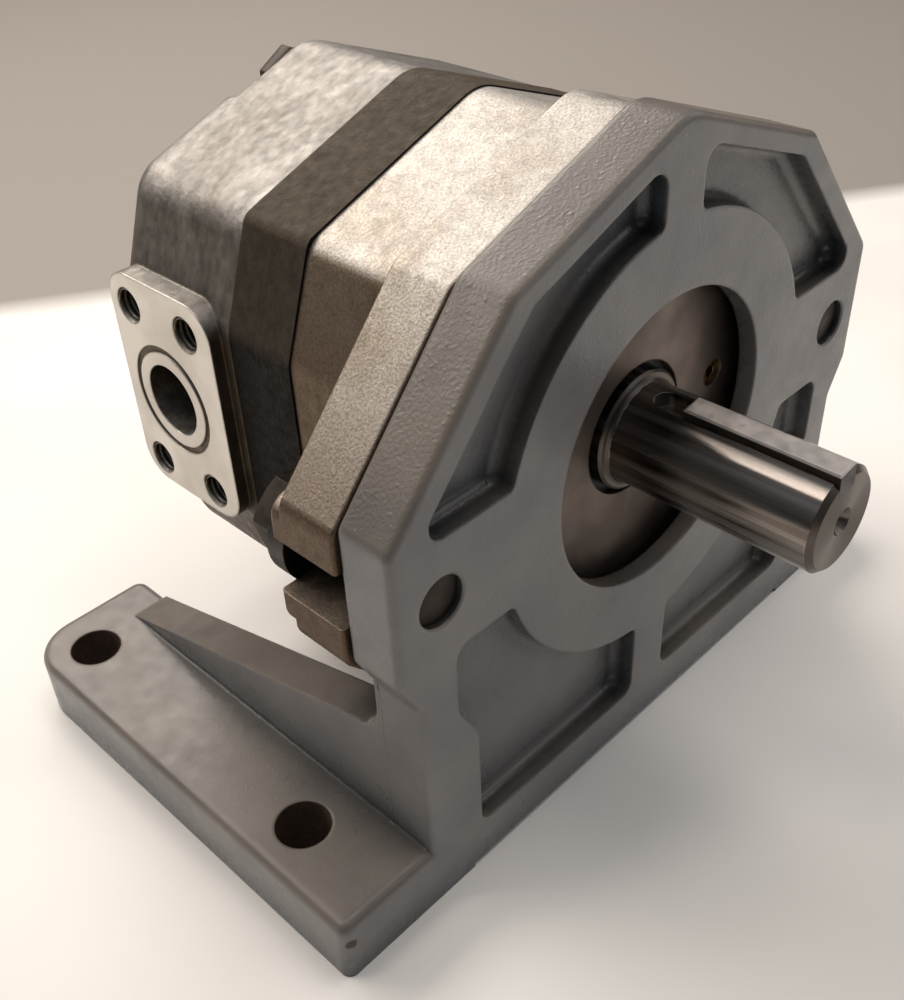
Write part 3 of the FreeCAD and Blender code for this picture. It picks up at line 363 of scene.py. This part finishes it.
def sand_cast_aluminium():
    finish, tree, shader, place = start_finish("sand-cast aluminium", "#C4BBAE", 0.8, 0.5)
    parts = add_node(tree, "ShaderNodeSeparateXYZ", {"Vector": place}).outputs
    stains = blotchy_colour(tree, place, STAIN_CLOUD, "#E4DDD4", "#FFFFFF", spread=(0.3, 0.5))
    # Towards the bottom the flange is tinted darker and browner.
    low_down = past(tree, parts["Z"], LOWER_TINT_FROM, LOWER_TINT_FULL)
    skin = blotchy_colour(tree, place, SAND_GRAIN, "#9E978F", "#C9C4BD", spread=(0.3, 0.7), detail=3.0)
    # Steep faces get a darker, browner tint, which is painted shade.
    painted_side_shade = on_flanks(tree, SLOPE_STEEP, SLOPE_LEVEL)
    skin = glazed(tree, skin, [(stains, 1.0), (hex_colour("#B0A294"), painted_side_shade),
                               (hex_colour("#CEC2B7"), low_down)])
    # The turned pilot is coloured dark brown, which is painted shade: it sits deep in the bracket's bore.
    turned = blotchy_colour(tree, place, OIL_CLOUD, "#4F453F", "#7A6E65", spread=(0.25, 0.75), detail=5.0)
    gloss = blotchy_value(tree, place, 3.0, 0.42, 0.6)
    smudged = blotchy_value(tree, place, 10.0, 0.32, 0.5)
    machined = past(tree, parts["Y"], flange_face_y - SEAM_NEAR, flange_face_y - SEAM_FAR)
    two_finishes(tree, shader, machined, (skin, gloss), (turned, smudged))
    grain = add_node(tree, "ShaderNodeTexNoise",
                     {"Vector": place, "Scale": per_metre(SAND_GRAIN), "Detail": 3.0, "Roughness": 0.6})
    centred = add_node(tree, "ShaderNodeMapping", {"Vector": place, "Location": (0, 0, -SHAFT_Z * MM)})
    rings = add_node(tree, "ShaderNodeTexWave",
                     {"Vector": centred.outputs[0], "Scale": ring_scale(TURNING_FEED)},
                     wave_type="RINGS", rings_direction="Y")
    cast = add_node(tree, "ShaderNodeMath", {0: 1.0, 1: machined}, operation="SUBTRACT").outputs[0]
    roughened(tree, shader, 0.7, [(grain.outputs["Fac"], 0.09, cast),
                                  (rings.outputs["Fac"], 0.008, machined)])
    return finish


# %% [markdown]
# The rear cover was cast in a smoother mould, where the metal's flow leaves cloudy streaks and shallow
# dents. Its grain is finer than the flange's. It is drawn 1.2 mm wide, so that the top doesn't look
# polished. Its steep cast faces get a darker, browner tint, which is painted shade. The port faces were
# milled, so they have a bright colour of their own without that tint, are the brightest faces and have
# no relief.

# %% Smooth-cast rear cover
FLOW_CLOUD, FLOW_STREAK, MILLED_CLOUD = 12.0, 1.8, 14.0
CAST_DENTS, CAST_GRAIN = 7.0, 1.2


def smooth_cast_aluminium():
    finish, tree, shader, place = start_finish("smooth-cast aluminium", "#B5AFA6", 0.88, 0.42)
    drawn_out = add_node(tree, "ShaderNodeMapping", {"Vector": place, "Scale": (0.7, 1.0, 0.7)}).outputs[0]
    clouds = blotchy_colour(tree, drawn_out, FLOW_CLOUD, "#DAD7D3", "#FFFFFF", spread=(0.3, 0.62),
                            detail=3.0)
    skin = blotchy_colour(tree, drawn_out, FLOW_STREAK, "#817C77", "#9C9893", spread=(0.3, 0.7), detail=5.0)
    # Steep faces get a darker, browner tint, which is painted shade.
    skin = glazed(tree, skin, [(clouds, 1.0), (hex_colour("#A99D8C"), on_flanks(tree))])
    gloss = blotchy_value(tree, drawn_out, 3.0, 0.4, 0.6)
    milled = blotchy_colour(tree, place, MILLED_CLOUD, "#BDB7AE", "#D2CDC5")
    parts = add_node(tree, "ShaderNodeSeparateXYZ", {"Vector": place}).outputs
    side = add_node(tree, "ShaderNodeMath", {0: parts["X"]}, operation="ABSOLUTE").outputs[0]
    machined = past(tree, side, port_face_x - SEAM_FAR, port_face_x - SEAM_NEAR)
    two_finishes(tree, shader, machined, (skin, gloss), (milled, 0.36))
    dents = add_node(tree, "ShaderNodeTexNoise",
                     {"Vector": place, "Scale": per_metre(CAST_DENTS), "Detail": 2.0})
    grain = add_node(tree, "ShaderNodeTexNoise",
                     {"Vector": place, "Scale": per_metre(CAST_GRAIN), "Detail": 4.0, "Roughness": 0.6})
    cast = add_node(tree, "ShaderNodeMath", {0: 1.0, 1: machined}, operation="SUBTRACT").outputs[0]
    roughened(tree, shader, 0.8, [(dents.outputs["Fac"], 0.3, cast), (grain.outputs["Fac"], 0.12, cast)])
    return finish


# %% [markdown]
# ## Dark iron and steel
# The gear housing is iron with a dark phosphate skin, matt and a little brown. Its sides are coloured
# nearly black, which is painted shade, and its tops paler, which is painted light. The skin hardly
# reflects, so its specular level is low. Its real grain is finer than 0.1 mm. It is drawn 0.9 mm wide,
# so that the face doesn't look like plastic.

# %% Phosphated iron
PHOSPHATE_CLOUD, PHOSPHATE_GRAIN = 3.0, 0.9


def phosphated_iron():
    finish, tree, shader, place = start_finish("phosphated iron", "#3A342E", 0.1, 0.6)
    shader.inputs["Specular IOR Level"].default_value = 0.1
    oil_film_and_painted_shade = blotchy_colour(tree, place, PHOSPHATE_CLOUD, "#110E0B", "#1B1714", detail=5.0)
    painted_light_on_top = blotchy_colour(tree, place, PHOSPHATE_CLOUD, "#453D33", "#544A3E", detail=5.0)
    dull = blotchy_value(tree, place, 2.0, 0.5, 0.72)
    # Painted shade and light: nearly black sides and paler tops.
    two_finishes(tree, shader, facing_up(tree), (oil_film_and_painted_shade, dull), (painted_light_on_top, dull))
    grain = add_node(tree, "ShaderNodeTexNoise",
                     {"Vector": place, "Scale": per_metre(PHOSPHATE_GRAIN), "Detail": 3.0,
                      "Roughness": 0.6})
    roughened(tree, shader, 0.5, [(grain.outputs["Fac"], 0.22, 1.0)])
    return finish


# %% [markdown]
# Ground steel reflects in long streaks. The wheel's marks run round the shaft, so a highlight is
# smeared along it, and the anisotropic gloss is turned by a quarter to do the same. The oil film is
# drawn out fifty times along the shaft too. An end face was turned and shows none of this, so a mask
# keeps it plain. Grinding marks are a few hundredths of a millimetre wide. They are drawn 0.4 mm wide,
# so that they don't blur away.

# %% Ground steel
GRINDING_MARK = 0.4
STRETCH = 0.02
QUARTER_TURN = 0.25


def ground_steel(name, dark, light, end_colour, roughness, streak_mm):
    finish, tree, shader, place = start_finish(name, light, 1.0, roughness)
    shader.inputs["Anisotropic"].default_value = 0.8
    shader.inputs["Anisotropic Rotation"].default_value = QUARTER_TURN
    tangent = add_node(tree, "ShaderNodeTangent", direction_type="RADIAL", axis="Y")
    tree.links.new(tangent.outputs["Tangent"], shader.inputs["Tangent"])
    along = add_node(tree, "ShaderNodeMapping", {"Vector": place, "Scale": (1.0, STRETCH, 1.0)}).outputs[0]
    oil_film_and_painted_shade = blotchy_colour(tree, along, streak_mm, dark, light, spread=(0.35, 0.6))
    gloss = blotchy_value(tree, along, streak_mm, roughness * 0.6, roughness * 1.5)
    normal = add_node(tree, "ShaderNodeNewGeometry").outputs["Normal"]
    lengthwise = add_node(tree, "ShaderNodeSeparateXYZ", {"Vector": normal}).outputs["Y"]
    lengthwise = add_node(tree, "ShaderNodeMath", {0: lengthwise}, operation="ABSOLUTE").outputs[0]
    end_face = add_node(tree, "ShaderNodeMapRange", {"Value": lengthwise, "From Min": 0.3, "From Max": 0.6})
    two_finishes(tree, shader, end_face.outputs["Result"], (oil_film_and_painted_shade, gloss), (hex_colour(end_colour), 0.4))
    around = add_node(tree, "ShaderNodeMapping", {"Vector": place, "Scale": (STRETCH, 1.0, STRETCH)})
    marks = add_node(tree, "ShaderNodeTexNoise",
                     {"Vector": around.outputs[0], "Scale": per_metre(GRINDING_MARK), "Detail": 4.0})
    roughened(tree, shader, 0.3, [(marks.outputs["Fac"], 0.005, 1.0)])
    return finish


# %% [markdown]
# The other metals and the rubber share one recipe, because each is even all over: two close tones in
# soft blotches, a gloss that wanders by a quarter, and a grain of half a millimetre that is hardly
# felt. Blackened steel is brown-black and half matt. Drawn key steel is pale, and its sides are tinted
# dark, which is painted shade, so the recipe also takes a tint for the flanks. Bronze and brass differ
# by their yellow.

# %% Blackened and drawn steel, bronze, brass and rubber
HANDLING_GRAIN = 0.5


def worn_metal(name, dark, light, roughness, metallic=1.0, blotch_mm=5.0, side_shade_tint="#FFFFFF"):
    finish, tree, shader, place = start_finish(name, light, metallic, roughness)
    skin = blotchy_colour(tree, place, blotch_mm, dark, light)
    # A tint on steep faces, which paints shade down the sides; white leaves them as they are.
    skin = glazed(tree, skin, [(hex_colour(side_shade_tint), on_flanks(tree))])
    gloss = blotchy_value(tree, place, blotch_mm / 2, roughness * 0.8, roughness * 1.25)
    tree.links.new(skin, shader.inputs["Base Color"])
    tree.links.new(gloss, shader.inputs["Roughness"])
    grain = add_node(tree, "ShaderNodeTexNoise",
                     {"Vector": place, "Scale": per_metre(HANDLING_GRAIN), "Detail": 2.0})
    roughened(tree, shader, 0.3, [(grain.outputs["Fac"], 0.02, 1.0)])
    return finish


# %% [markdown]
# Each part now gets its finish. A CAD node keeps its mesh, and only the material in its slots changes.
# The slots are called as in the record. The washers' slot says zinc, but they look dark, so they get a
# dark steel. Brass and bronze are seen only where a plug or a bush looks out, as small warm accents, and
# the rubber of the seal is the darkest and dullest of all.

# %% Give each part its finish
finishes = {
    "bracket_paint": grey_enamel(),
    "flange_aluminium": sand_cast_aluminium(),
    "cover_aluminium": smooth_cast_aluminium(),
    "housing_iron": phosphated_iron(),
    "black_steel": worn_metal("blackened steel", "#261F1A", "#40372F", 0.45, metallic=0.7),
    "zinc_steel": worn_metal("dark steel washer", "#2F2D2B", "#45423F", 0.4),
    "ground_steel": ground_steel("ground pin steel", "#8F8B85", "#A8A49E", "#8F8B85", 0.2, 1.5),
    "shaft_steel": ground_steel("ground shaft steel", "#6B635D", "#A59D96", "#615A54", 0.2, 2.2),
    # The key's sides are tinted dark, which is painted shade.
    "key_steel": worn_metal("drawn key steel", "#B3ABA6", "#CBC3BE", 0.42, metallic=0.8, blotch_mm=6.0,
                            side_shade_tint="#4A4440"),
    "gear_steel": ground_steel("ground gear steel", "#7C7872", "#96928C", "#8A8680", 0.25, 1.5),
    "crescent_bronze": worn_metal("aluminium bronze", "#8A6B35", "#A98848", 0.35),
    "plate_bronze": worn_metal("tin bronze", "#8F6A3C", "#AE8450", 0.35),
    "bush_bronze": worn_metal("bush bronze", "#7F6035", "#9C7845", 0.4),
    "spring_steel": worn_metal("blued spring steel", "#3A3B40", "#55575C", 0.3),
    "seal_rubber": worn_metal("nitrile rubber", "#0F0F10", "#19191A", 0.55, metallic=0.0),
    "plug_brass": worn_metal("turned brass", "#8C7440", "#B09457", 0.3),
}
for part in frame["record"]["subparts"]:
    node = nodes[part["node"]]
    for index in range(len(node.material_slots)):
        node.material_slots[index].material = finishes[part["material_slot"]]

# %% [markdown]
# ## Small pieces that the solids leave out
# What comes twice or more on the pump is modelled once at the origin, and each copy gets a mesh of its
# own that is moved to its place. So every piece can ride on its body as an object of its own.

# %% Copies with a mesh of their own
def placed_copy(model, name, place_mm, turn, finish):
    """A copy of a model, turned and set down at a place in millimetres on the pump's body."""
    piece = model.copy()
    piece.data = model.data.copy()
    piece.name = name
    bpy.context.collection.objects.link(piece)
    piece.data.transform(Matrix.Translation(Vector(place_mm) * MM) @ turn)
    piece.data.materials.append(finishes[finish])
    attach(piece, "pump")
    return piece


# %% [markdown]
# ### Roots of the ribs
# A casting has no seam where a rib runs into its plate. The solid's plate is rounded there and leaves a
# groove 0.2 mm deep in front of each rib, which catches the eye as a thin dark line. A strip under the
# same paint fills it. It is a cube drawn out to a strip, with the long edges that lie inside the iron
# bevelled off.

# %% Rib roots
RIB_FACE_X = 80.55
ROOT_FRONT, ROOT_BACK = -60.05, -59.25
ROOT_FOOT, ROOT_TOP = 18.3, 63.0
ROOT_DEPTH = 1.2
ROOT_BEVEL = 0.25


def rib_root():
    """A strip that stands on the origin with its painted face at +X."""
    bpy.ops.object.select_all(action="DESELECT")
    bpy.ops.mesh.primitive_cube_add(size=1.0)
    strip = bpy.context.object
    bpy.ops.object.mode_set(mode="EDIT")
    bpy.ops.mesh.select_all(action="SELECT")
    bpy.ops.transform.translate(value=(-0.5, 0.0, 0.5))
    size = Vector((ROOT_DEPTH, ROOT_BACK - ROOT_FRONT, ROOT_TOP - ROOT_FOOT)) * MM
    bpy.ops.transform.resize(value=size, center_override=(0, 0, 0))
    bpy.ops.mesh.select_all(action="DESELECT")
    bpy.ops.object.mode_set(mode="OBJECT")
    for edge in strip.data.edges:
        one_end, other_end = (strip.data.vertices[v].co for v in edge.vertices)
        upright = abs(one_end.z - other_end.z) > ROOT_DEPTH * MM
        in_the_iron = max(one_end.x, other_end.x) < -ROOT_DEPTH * MM / 2
        edge.select = upright and in_the_iron
    bpy.ops.object.mode_set(mode="EDIT")
    bpy.ops.mesh.bevel(offset=ROOT_BEVEL * MM, segments=2)
    bpy.ops.object.mode_set(mode="OBJECT")
    return strip


root = rib_root()
root_y = (ROOT_FRONT + ROOT_BACK) / 2
placed_copy(root, "rib_root_right", (RIB_FACE_X, root_y, ROOT_FOOT), Matrix.Identity(4), "bracket_paint")
placed_copy(root, "rib_root_left", (-RIB_FACE_X, root_y, ROOT_FOOT), Matrix.Rotation(math.pi, 4, "Z"),
            "bracket_paint")
print("faces in a rib root:", len(root.data.polygons))
bpy.data.objects.remove(root)

# %% [markdown]
# ### Heads of the middle clamp screws
# The screws at the top and bottom of the cover stand in open notches. In the photo the top one's head
# stands about 4 mm higher than the solid's, so it shows above the cover. A forged hexagon head has a
# rim that is turned to a cone. Here it is a six-sided cylinder whose edges are bevelled, set on the
# solid's head.

# %% Taller screw heads
HEAD_FLATS = 16.0
HEAD_REACH = 57.4
HEAD_RISE = 4.0
HEAD_OVERLAP = 0.1
HEAD_BEVEL = 0.5
SHARP_FROM = math.radians(35)


def screw_head():
    """The top of a hexagon head, centred on the origin and looking along +Z."""
    bpy.ops.object.select_all(action="DESELECT")
    bpy.ops.mesh.primitive_cylinder_add(vertices=6, radius=HEAD_FLATS / math.sqrt(3) * MM,
                                        depth=(HEAD_RISE + HEAD_OVERLAP) * MM)
    bpy.ops.object.mode_set(mode="EDIT")
    bpy.ops.mesh.select_all(action="SELECT")
    bpy.ops.mesh.bevel(offset=HEAD_BEVEL * MM, segments=2)
    bpy.ops.object.mode_set(mode="OBJECT")
    bpy.ops.object.shade_smooth_by_angle(angle=SHARP_FROM)
    return bpy.context.object


head = screw_head()
head_y = box_mm("clamp_screws")[1][1] + (HEAD_RISE - HEAD_OVERLAP) / 2
to_the_rear = Matrix.Rotation(math.pi / 2, 4, "X")
placed_copy(head, "clamp_screw_head_top", (0.0, head_y, SHAFT_Z + HEAD_REACH), to_the_rear,
            "black_steel")
placed_copy(head, "clamp_screw_head_bottom", (0.0, head_y, SHAFT_Z - HEAD_REACH), to_the_rear,
            "black_steel")
print("faces in a screw head:", len(head.data.polygons))
bpy.data.objects.remove(head)

# %% [markdown]
# ### Threads in the port holes
# Each port has four tapped holes for the screws of its flange. The solids show them as plain bores, and
# a thread is what the eye expects there. A thread is a small triangle that travels round the bore and
# inwards at the same time, which the Screw modifier does. The triangle is a circle of three points,
# squeezed to the height and width of a ridge. A metric thread of 10 mm rises 1.5 mm a turn. One thread
# is modelled, and all eight are copies with a mesh of their own.

# %% One thread
THREAD_RISE = 1.5
THREAD_TURNS, STEPS_A_TURN = 7, 24
THREAD_BORE_R = 4.25
RIDGE_HEIGHT, RIDGE_WIDTH, RIDGE_INWARD = 0.4, 0.75, 0.15
CREST_ANGLE = math.radians(40)


def port_thread():
    """A thread ridge round the Z axis that starts at the origin and rises along +Z."""
    bpy.ops.object.select_all(action="DESELECT")
    bpy.ops.mesh.primitive_circle_add(vertices=3, radius=1.0, fill_type="NOTHING")
    ridge = bpy.context.object
    bpy.ops.object.mode_set(mode="EDIT")
    bpy.ops.mesh.select_all(action="SELECT")
    bpy.ops.transform.rotate(value=math.pi / 2, orient_axis="Z", center_override=(0, 0, 0))
    bpy.ops.transform.rotate(value=math.pi / 2, orient_axis="X", center_override=(0, 0, 0))
    bpy.ops.transform.resize(value=(RIDGE_HEIGHT * MM, MM, RIDGE_WIDTH * MM), center_override=(0, 0, 0))
    bpy.ops.transform.translate(value=((THREAD_BORE_R - RIDGE_INWARD) * MM, 0, 0))
    bpy.ops.object.mode_set(mode="OBJECT")
    coil = ridge.modifiers.new("coil", "SCREW")
    coil.axis = "Z"
    coil.angle = 2 * math.pi
    coil.screw_offset = THREAD_RISE * MM
    coil.iterations = THREAD_TURNS
    coil.steps = STEPS_A_TURN
    coil.render_steps = STEPS_A_TURN
    coil.use_merge_vertices = False
    bpy.ops.object.modifier_apply(modifier="coil")
    bpy.ops.object.mode_set(mode="EDIT")
    bpy.ops.mesh.select_all(action="SELECT")
    bpy.ops.mesh.fill_holes(sides=3)
    bpy.ops.mesh.select_all(action="SELECT")
    bpy.ops.mesh.normals_make_consistent(inside=False)
    bpy.ops.object.mode_set(mode="OBJECT")
    bpy.ops.object.shade_smooth_by_angle(angle=CREST_ANGLE)
    return ridge


# %% [markdown]
# The port on the left is the pressure side, and the suction port on the right is larger, so its screws
# stand wider apart. Each thread starts 0.7 mm below the face, so that no part of it stands out.

# %% A thread in each tapped hole
PORT_Y = 29.25
HOLE_PITCHES = {-1: (22.8, 44.8), 1: (26.2, 52.4)}
THREAD_START = 0.7
first_thread = port_thread()
threads = []
for side, (pitch_y, pitch_z) in HOLE_PITCHES.items():
    for end in (-1, 1):
        for level in (-1, 1):
            mouth = (side * (port_face_x - THREAD_START), PORT_Y + end * pitch_y / 2,
                     SHAFT_Z + level * pitch_z / 2)
            into_wall = Vector((-side, 0, 0)).to_track_quat("Z", "Y").to_matrix().to_4x4()
            name = "port_thread_%d" % (len(threads) + 1)
            threads.append(placed_copy(first_thread, name, mouth, into_wall, "cover_aluminium"))
bpy.data.objects.remove(first_thread)
print("threads:", len(threads), "faces in one:", len(threads[0].data.polygons))

# %% [markdown]
# ## Floor, light and camera
# The pump stands on a white table in front of a warm grey wall. The floor is one large plane, whose
# colour turns to the wall's beyond a line behind the pump. A standing wall would hide the pump from
# other sides.

# %% Floor
WALL_FROM = Vector((3.0, 285.0)) * MM
WALL_TO = Vector((362.0, 50.0)) * MM
WALL_FADE = 9.0
TABLE_CLOUD = 120.0
TABLE_SIZE = 6.0


def table_and_wall():
    finish, tree, shader, place = start_finish("white table and warm wall", "#F4EFE9", 0.0, 0.55)
    line = (WALL_TO - WALL_FROM).normalized()
    outward = Vector((-line.y, line.x, 0.0))
    depth = add_node(tree, "ShaderNodeVectorMath", {0: place, 1: outward}, operation="DOT_PRODUCT")
    edge = outward.xy.dot(WALL_FROM) / MM
    wall = past(tree, depth.outputs["Value"], edge - WALL_FADE, edge + WALL_FADE)
    cloudy = blotchy_colour(tree, place, TABLE_CLOUD, "#EFEAE4", "#F8F4EF", detail=2.0)
    colour = add_node(tree, "ShaderNodeMix", {0: wall, 6: cloudy, 7: hex_colour("#989088")},
                      data_type="RGBA")
    tree.links.new(colour.outputs[2], shader.inputs["Base Color"])
    return finish


bpy.ops.object.select_all(action="DESELECT")
bpy.ops.mesh.primitive_plane_add(size=TABLE_SIZE, location=(0.0, 0.0, 0.0))
table = bpy.context.object
table.name = "table"
table.data.materials.append(table_and_wall())
print("table:", TABLE_SIZE, "m wide")

# %% [markdown]
# Most light comes from a long lamp high up behind the pump, so the tops are bright and the faces
# towards us stay darker. The lamp overhead lifts them a little. The strip lamp is there for its
# reflection: the narrow bright line along the shaft. Two weak fills keep the shaded faces readable. A
# finish that shines needs something to reflect, so the room is pale above and dark brown below.

# %% Light
MIDDLE = Vector((0.0, 0.0, 0.08))


def soft_lamp(name, place, width, height, power, colour):
    """A lamp that faces the middle of the pump, with its place and size in metres, power in watts."""
    bpy.ops.object.light_add(type="AREA", location=place)
    lamp = bpy.context.object
    lamp.name = name
    lamp.rotation_euler = (Vector(place) - MIDDLE).to_track_quat("Z", "Y").to_euler()
    lamp.data.shape = "RECTANGLE"
    lamp.data.size = width
    lamp.data.size_y = height
    lamp.data.energy = power
    lamp.data.color = hex_colour(colour)[:3]
    print(name, "shines with", power, "W")


soft_lamp("long lamp behind", (0.0, 0.85, 0.85), 1.6, 0.45, 14.0, "#FFF6EC")
soft_lamp("lamp overhead", (0.3, -0.1, 1.1), 0.5, 0.5, 3.2, "#FFF6EC")
soft_lamp("strip lamp", (-0.36, 0.2, 1.15), 0.1, 0.5, 1.8, "#FFF6EC")
soft_lamp("fill at right", (0.9, -0.3, 0.6), 0.5, 0.5, 1.4, "#FFF8F0")
soft_lamp("fill in front", (0.6, -1.0, 0.7), 0.6, 0.6, 1.35, "#F4F8FF")

# %% Room
world = bpy.data.worlds.new("room")
world.use_nodes = True
sky = world.node_tree
direction = add_node(sky, "ShaderNodeTexCoord").outputs["Generated"]
up = add_node(sky, "ShaderNodeSeparateXYZ", {"Vector": direction})
room = add_node(sky, "ShaderNodeValToRGB", {"Fac": up.outputs["Z"]})
room.color_ramp.elements[0].position = 0.1
room.color_ramp.elements[0].color = hex_colour("#2E2A28")
room.color_ramp.elements[1].position = 0.8
room.color_ramp.elements[1].color = hex_colour("#DDE3EA")
sky.links.new(room.outputs["Color"], sky.nodes["Background"].inputs["Color"])
sky.nodes["Background"].inputs["Strength"].default_value = 0.4
bpy.context.scene.world = world
bpy.context.scene.view_settings.view_transform = "Standard"

# %% [markdown]
# The camera was found by matching straight edges and circles of the pump with the photograph. It stands
# to the left of the shaft end, looks down on it, and is rolled by a few degrees. Its lens is given for
# a frame that is 36 mm tall, and the small shifts are the frame's distance from the lens axis.

# %% Camera
CAMERA_PLACE = (-0.1903, -0.19725, 0.2451)
CAMERA_TURN = math.radians(-44.58)
CAMERA_PITCH = math.radians(37.58)
CAMERA_ROLL = math.radians(2.61)
FRAME_HEIGHT, FOCAL_LENGTH = 36.0, 42.5
SHIFT_X, SHIFT_Y = -0.0055, 0.0082
NEAREST = 0.01

bpy.ops.object.camera_add(location=CAMERA_PLACE)
camera = bpy.context.object
turn = (Matrix.Rotation(CAMERA_TURN, 3, "Z") @ Matrix.Rotation(math.pi / 2 - CAMERA_PITCH, 3, "X")
        @ Matrix.Rotation(-CAMERA_ROLL, 3, "Z"))
camera.rotation_euler = turn.to_euler()
camera.data.sensor_width = FRAME_HEIGHT
camera.data.lens = FOCAL_LENGTH
camera.data.shift_x = SHIFT_X
camera.data.shift_y = SHIFT_Y
camera.data.clip_start = NEAREST
bpy.context.scene.camera = camera
